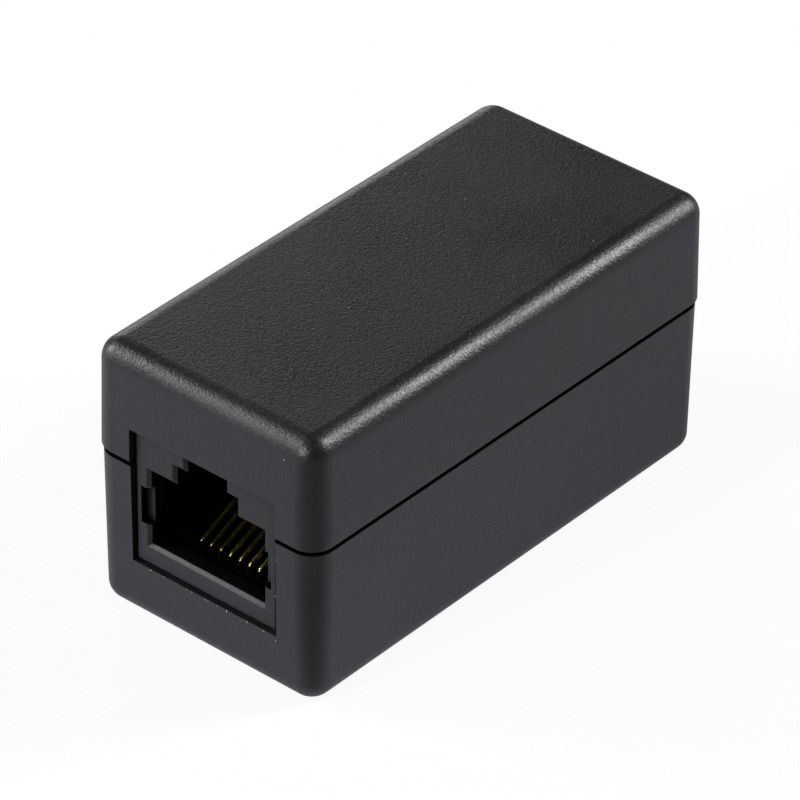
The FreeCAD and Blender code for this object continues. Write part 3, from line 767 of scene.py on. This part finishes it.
tin, tree = new_material("tin_solder")
where = node(tree, "ShaderNodeTexCoord").outputs["Object"]
crystals = node(tree, "ShaderNodeTexVoronoi", {"Vector": where, "Scale": 1 / CRYSTAL})
flux = node(tree, "ShaderNodeTexNoise", {
    "Vector": where,
    "Scale": 1 / FLUX_PATCH,
    "Detail": 2.0,
})
filmed = node(tree, "ShaderNodeMapRange", {
    "Value": flux.outputs["Fac"],
    "From Min": FLUX_BORDER[0],
    "From Max": FLUX_BORDER[1],
})
colour = node(tree, "ShaderNodeMix", {
    0: filmed.outputs["Result"],
    6: linear("#c9cbce"),
    7: linear("#9a8460"),
}, data_type="RGBA")
metallic = node(tree, "ShaderNodeMapRange", {
    "Value": flux.outputs["Fac"],
    "From Min": FLUX_BORDER[0],
    "From Max": FLUX_BORDER[1],
    "To Min": 1.0,
    "To Max": FILMED_METALLIC,
})
gloss = node(tree, "ShaderNodeMapRange", {
    "Value": crystals.outputs["Distance"],
    "From Max": CRYSTAL_RIM,
    "To Min": CRYSTAL_ROUGHNESS[0],
    "To Max": CRYSTAL_ROUGHNESS[1],
})
metal = node(tree, "ShaderNodeBsdfPrincipled", {
    "Base Color": colour.outputs[2],
    "Metallic": metallic.outputs["Result"],
    "Roughness": gloss.outputs["Result"],
    "Normal": relief(tree, crystals.outputs["Distance"], CRYSTAL_DEPTH, SOLDER_EDGE),
})
node(tree, "ShaderNodeOutputMaterial", {"Surface": metal.outputs[0]})
print("tin crystals, mm:", CRYSTAL / MM)

# %% [markdown]
# ## Flash: plastic squeezed out at the edge of a mould
# Where two halves of a mould close, a film of plastic creeps between them. Broken off, it leaves
# ragged crumbs, paler than the case because the strain turns the black plastic grey. One noise
# pattern does it all: where it is high, the tear is paler and rougher and stands proud.

# %% Flash material
TEAR_SIZE = 0.05 * MM
TEAR_DEPTH = 0.01 * MM
TEAR_ROUGHNESS = (0.45, 0.7)
TORN_EDGE = 0.01 * MM

flash, tree = new_material("torn_abs_flash")
where = node(tree, "ShaderNodeTexCoord").outputs["Object"]
tears = node(tree, "ShaderNodeTexNoise", {
    "Vector": where,
    "Scale": 1 / TEAR_SIZE,
    "Detail": 3.0,
    "Roughness": 0.7,
}).outputs["Fac"]
strained = node(tree, "ShaderNodeMapRange", {
    "Value": tears,
    "From Min": NOISE_CORE[0],
    "From Max": NOISE_CORE[1],
})
colour = node(tree, "ShaderNodeMix", {
    0: strained.outputs["Result"],
    6: linear("#b9b5aa"),
    7: linear("#dedad0"),
}, data_type="RGBA")
gloss = node(tree, "ShaderNodeMapRange", {
    "Value": tears,
    "From Min": NOISE_SPAN[0],
    "From Max": NOISE_SPAN[1],
    "To Min": TEAR_ROUGHNESS[0],
    "To Max": TEAR_ROUGHNESS[1],
})
torn = node(tree, "ShaderNodeBsdfPrincipled", {
    "Base Color": colour.outputs[2],
    "Roughness": gloss.outputs["Result"],
    "IOR": ABS_IOR,
    "Normal": relief(tree, tears, TEAR_DEPTH, TORN_EDGE),
})
node(tree, "ShaderNodeOutputMaterial", {"Surface": torn.outputs[0]})
print("tears, mm:", TEAR_SIZE / MM)

# %% [markdown]
# ## Every solid gets its finish
# The last word of a node's name says what it is. The contacts end in a number.

# %% Finishes
FINISHES = {
    "shell": case_abs,
    "housing": jack_pbt,
    "insert": jack_pbt,
    "board": laminate,
    "joints": tin,
}
for name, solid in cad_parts.items():
    finish = FINISHES.get(name.split("_")[-1], gold)
    for slot in solid.material_slots:
        slot.material = finish
print("solids with a finish:", len(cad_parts))

# %% [markdown]
# ## Building with Geometry Nodes
# Two things repeat along the part: the spring wires and the crumbs of flash. Each comes from one
# node tree with named inputs, and each piece is the tree's result turned into a plain mesh. The
# first function begins a tree, the second ends it, and the third runs it and returns the piece.

# %% Helpers for Geometry Nodes
def new_tree(name, inputs):
    """A geometry tree with those named inputs, and the sockets in it that give their values."""
    tree = bpy.data.node_groups.new(name, "GeometryNodeTree")
    tree.interface.new_socket("Geometry", in_out="OUTPUT", socket_type="NodeSocketGeometry")
    for label, kind in inputs:
        tree.interface.new_socket(label, in_out="INPUT", socket_type="NodeSocket" + kind)
    return tree, node(tree, "NodeGroupInput").outputs


def finish_tree(tree, geometry, material):
    """Ends a tree: real geometry instead of instances, and one material on all of it."""
    real = node(tree, "GeometryNodeRealizeInstances", {"Geometry": geometry})
    dressed = node(tree, "GeometryNodeSetMaterial", {
        "Geometry": real.outputs[0],
        "Material": material,
    })
    node(tree, "NodeGroupOutput", {"Geometry": dressed.outputs[0]})
    print("tree", tree.name, "has nodes:", len(tree.nodes))


def grow(name, tree, values):
    """A new piece: the tree's result with those input values, as a plain mesh."""
    carrier = bpy.data.objects.new(name + "_tree", bpy.data.meshes.new(name))
    bpy.context.scene.collection.objects.link(carrier)
    modifier = carrier.modifiers.new("tree", "NODES")
    modifier.node_group = tree
    for item in tree.interface.items_tree:
        if item.in_out == "INPUT" and item.name in values:
            modifier[item.identifier] = values[item.name]
    carrier.update_tag()
    evaluated = carrier.evaluated_get(bpy.context.evaluated_depsgraph_get())
    mesh = bpy.data.meshes.new_from_object(evaluated)
    bpy.data.objects.remove(carrier)
    piece = bpy.data.objects.new(name, mesh)
    bpy.context.scene.collection.objects.link(piece)
    return piece


print("helpers:", [helper.__name__ for helper in (new_tree, finish_tree, grow)])

# %% [markdown]
# ## Spring wires
# The CAD solids of the contacts have six flat sides. A real wire is round, and a round section
# draws the bright line on each bend out along the wire. So each contact gets a round wire on the
# same path: up from its pin, along the run, back round the nose and up the slope to its tip. Three
# straight lines with rounded corners make the path, and a circle is swept along it. Its size and
# the four points are inputs, so one tree does for all sixteen.

# %% Wire tree
CORNER_STEPS = 14
WIRE_SIDES = 14

wire_tree, given = new_tree("spring_wire", [
    ("Pin", "Vector"),
    ("Knee", "Vector"),
    ("Nose", "Vector"),
    ("Tip", "Vector"),
    ("Bend Radius", "Float"),
    ("Wire Radius", "Float"),
    ("Material", "Material"),
])
corners = node(wire_tree, "GeometryNodeCurvePrimitiveQuadrilateral", {
    "Point 1": given["Pin"],
    "Point 2": given["Knee"],
    "Point 3": given["Nose"],
    "Point 4": given["Tip"],
}, mode="POINTS")
path = node(wire_tree, "GeometryNodeSetSplineCyclic", {
    "Geometry": corners.outputs[0],
    "Cyclic": False,
})
bent = node(wire_tree, "GeometryNodeFilletCurve", {
    "Curve": path.outputs[0],
    "Radius": given["Bend Radius"],
    "Count": CORNER_STEPS,
}, mode="POLY")
section = node(wire_tree, "GeometryNodeCurvePrimitiveCircle", {
    "Resolution": WIRE_SIDES,
    "Radius": given["Wire Radius"],
})
swept = node(wire_tree, "GeometryNodeCurveToMesh", {
    "Curve": bent.outputs[0],
    "Profile Curve": section.outputs[0],
    "Fill Caps": True,
})
smooth = node(wire_tree, "GeometryNodeSetShadeSmooth", {"Geometry": swept.outputs[0]})
finish_tree(wire_tree, smooth.outputs[0], given["Material"])

# %% [markdown]
# ## Where each wire runs
# The path is measured on the solid that the wire replaces, so it follows the CAD model. The
# lowest points of the solid are the end of the pin, and those furthest up the slope are the tip.
# The nose lies where the slope, drawn down from the tip, meets the run above the board.

# %% Wires
BEND_RADIUS = 0.5 * MM
RUN_ABOVE_BOARD = 0.75 * MM
SLOPE = math.tan(math.radians(25))   # of the springs in the socket
CONTACT_NUMBERS = range(1, 9)
SAME_END = 0.01 * MM         # points this close to the furthest one belong to the same end

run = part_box("circuit_board")[1].z + RUN_ABOVE_BOARD
for end, inward in (("front", 1), ("rear", -1)):
    for number in CONTACT_NUMBERS:
        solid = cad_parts[f"{end}_contact_{number}"]
        points = [vertex.co for vertex in solid.data.vertices]
        lowest = min(point.z for point in points)
        pin_points = [point for point in points if point.z < lowest + SAME_END]
        pin = sum(pin_points, Vector()) / len(pin_points)
        climb = [point.z + point.y * inward / SLOPE for point in points]
        highest = max(climb)
        tip_points = [point for point, up in zip(points, climb) if up > highest - SAME_END]
        tip = sum(tip_points, Vector()) / len(tip_points)
        nose = Vector((tip.x, tip.y - inward * (tip.z - run) / SLOPE, run))
        low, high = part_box(solid.name)
        wire = grow(f"{end}_contact_wire_{number}", wire_tree, {
            "Pin": pin,
            "Knee": Vector((pin.x, pin.y, run)),
            "Nose": nose,
            "Tip": tip,
            "Bend Radius": BEND_RADIUS,
            "Wire Radius": (high.x - low.x) / 2,
            "Material": gold,
        })
        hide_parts(solid.name)
        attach(wire, "root")
print("wire triangles, each:", sum(len(face.vertices) - 2 for face in wire.data.polygons))

# %% [markdown]
# ## Crumbs of flash: where they sit
# The crumbs sit in a row along an edge, but no two at the same distance. So points are set evenly
# along a line, and each is slid along it by a random share of its length. The place, the turn and
# the shape of a crumb are three draws that may not depend on each other, so each has a seed of its
# own, counted on from the one that the tree is given.

# %% Flash tree: points along an edge
SLIDE = 0.10                 # a point is slid by up to this share of the edge

flash_tree, given = new_tree("flash_crumbs", [
    ("Start", "Vector"),
    ("End", "Vector"),
    ("Count", "Int"),
    ("Size", "Float"),
    ("Seed", "Int"),
    ("Material", "Material"),
])
slide_seed, turn_seed, shape_seed = [
    node(flash_tree, "ShaderNodeMath", {0: given["Seed"], 1: draw}, operation="ADD").outputs[0]
    for draw in (1.0, 2.0, 3.0)
]
edge = node(flash_tree, "GeometryNodeCurvePrimitiveLine", {
    "Start": given["Start"],
    "End": given["End"],
})
places = node(flash_tree, "GeometryNodeCurveToPoints", {
    "Curve": edge.outputs[0],
    "Count": given["Count"],
}, mode="COUNT")
length = node(flash_tree, "ShaderNodeVectorMath", {
    0: given["End"],
    1: given["Start"],
}, operation="SUBTRACT")
slide = node(flash_tree, "FunctionNodeRandomValue", {
    2: -SLIDE,
    3: SLIDE,
    "Seed": slide_seed,
}, data_type="FLOAT")
shift = node(flash_tree, "ShaderNodeVectorMath", {
    0: length.outputs[0],
    "Scale": slide.outputs[1],
}, operation="SCALE")
scattered = node(flash_tree, "GeometryNodeSetPosition", {
    "Geometry": places.outputs[0],
    "Offset": shift.outputs[0],
})
print("crumbs slide by up to this share of the edge:", SLIDE)

# %% [markdown]
# ## Crumbs of flash: their shape
# Each point carries a small ball whose surface a noise pattern has pushed in and out. It is
# squashed or drawn out and turned at random, so that no two are alike though all share one mesh.

# %% Flash tree: a lump on each point
RAGGED = 0.06 * MM           # width of the dents in a lump, and twice their depth
NO_TURN, FULL_TURN = (0, 0, 0), (6.28, 6.28, 6.28)       # radians about each axis
THINNEST, THICKEST = (0.2, 0.2, 0.2), (1.5, 0.9, 0.9)    # factors along each axis

lump = node(flash_tree, "GeometryNodeMeshIcoSphere", {"Radius": given["Size"], "Subdivisions": 2})
ragged = node(flash_tree, "ShaderNodeTexNoise", {"Scale": 1 / RAGGED, "Detail": 2.0})
dent = node(flash_tree, "ShaderNodeVectorMath", {
    0: ragged.outputs["Color"],
    1: (0.5, 0.5, 0.5),
}, operation="SUBTRACT")
dented = node(flash_tree, "ShaderNodeVectorMath", {
    0: dent.outputs[0],
    "Scale": RAGGED,
}, operation="SCALE")
crumb = node(flash_tree, "GeometryNodeSetPosition", {
    "Geometry": lump.outputs[0],
    "Offset": dented.outputs[0],
})
turn = node(flash_tree, "FunctionNodeRandomValue", {
    0: NO_TURN,
    1: FULL_TURN,
    "Seed": turn_seed,
}, data_type="FLOAT_VECTOR")
shape = node(flash_tree, "FunctionNodeRandomValue", {
    0: THINNEST,
    1: THICKEST,
    "Seed": shape_seed,
}, data_type="FLOAT_VECTOR")
sown = node(flash_tree, "GeometryNodeInstanceOnPoints", {
    "Points": scattered.outputs[0],
    "Instance": crumb.outputs[0],
    "Rotation": turn.outputs[0],
    "Scale": shape.outputs[0],
})
finish_tree(flash_tree, sown.outputs[0], given["Material"])

# %% [markdown]
# ## Flash on the openings
# The crumbs sit on the rim of each opening, most of them on its lower edge, a few above and fewer
# still at one side. The rear end is the front one turned round, but its seeds are others, so its
# crumbs don't repeat the front's.

# %% Flash on the openings
PORT_GAP = 0.2 * MM          # between a jack and the rim of the opening round it
FACE_SINK = 0.03 * MM        # the line of the crumbs lies this far behind the end face
LOWER_INSET = 1 * MM         # from the rim's left corner to where the crumbs begin below
UPPER_INSET = 5 * MM         # and above
CRUMB = 0.07 * MM
FIRST_SEED = {"front": 13, "rear": 21}

jack_low, jack_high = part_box("front_jack_housing")
port_left, port_right = jack_low.x - PORT_GAP, jack_high.x + PORT_GAP
port_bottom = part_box("circuit_board")[1].z - PORT_GAP
port_top = jack_high.z + PORT_GAP
edges = {                    # where the crumbs begin and end, as x and z, and how many there are
    "lower_edge": ((port_left + LOWER_INSET, port_bottom), (port_right, port_bottom), 13),
    "upper_edge": ((port_left + UPPER_INSET, port_top), (port_right, port_top), 6),
    "right_edge": ((port_right, port_bottom), (port_right, port_top), 4),
}
for end, outward in (("front", -1), ("rear", 1)):
    face = outward * (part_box("lower_shell")[1].y - FACE_SINK)
    for number, (place, ((x0, z0), (x1, z1), count)) in enumerate(edges.items()):
        crumbs = grow(f"{end}_flash_{place}", flash_tree, {
            "Start": Vector((x0 * -outward, face, z0)),
            "End": Vector((x1 * -outward, face, z1)),
            "Count": count,
            "Size": CRUMB,
            "Seed": FIRST_SEED[end] + number,
            "Material": flash,
        })
        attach(crumbs, "root")
    print(end, "flash on", list(edges))

# %% [markdown]
# ## Burrs in the shadow line
# On the long sides, a few black burrs bridge the gap between the shells. The tree of the crumbs
# makes them too: they are larger, further apart and in the plastic of the case.

# %% Burrs in the shadow line
BURR = 0.16 * MM
BURR_COUNT = 4
BURR_SINK = 0.1 * MM         # the line of the burrs lies this far inside the rim
BURR_SPAN = (-17 * MM, 19 * MM)  # along the side, from the front to the rear
BURR_SEED = 21

for side, direction in (("right", 1), ("left", -1)):
    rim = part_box("lower_shell")[1].x * direction
    burrs = grow(f"{side}_seam_burrs", flash_tree, {
        "Start": Vector((rim - BURR_SINK * direction, BURR_SPAN[0], SEAM_MIDDLE)),
        "End": Vector((rim - BURR_SINK * direction, BURR_SPAN[1], SEAM_MIDDLE)),
        "Count": BURR_COUNT,
        "Size": BURR,
        "Seed": BURR_SEED + direction,
        "Material": case_abs,
    })
    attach(burrs, "root")
print("burrs on each side:", BURR_COUNT)

# %% [markdown]
# ## Sizes, and the end
# Both boxes are kept, and the cell prints how far the crumbs and wires reach past the CAD model's
# box. The crumbs and wires may not make the part larger than its CAD model, so both boxes are
# kept.

# %% Sizes, and the end
low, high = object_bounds()
print("grown by, mm:", [round((high[axis] - cad_high[axis]) / MM, 4) for axis in range(3)])
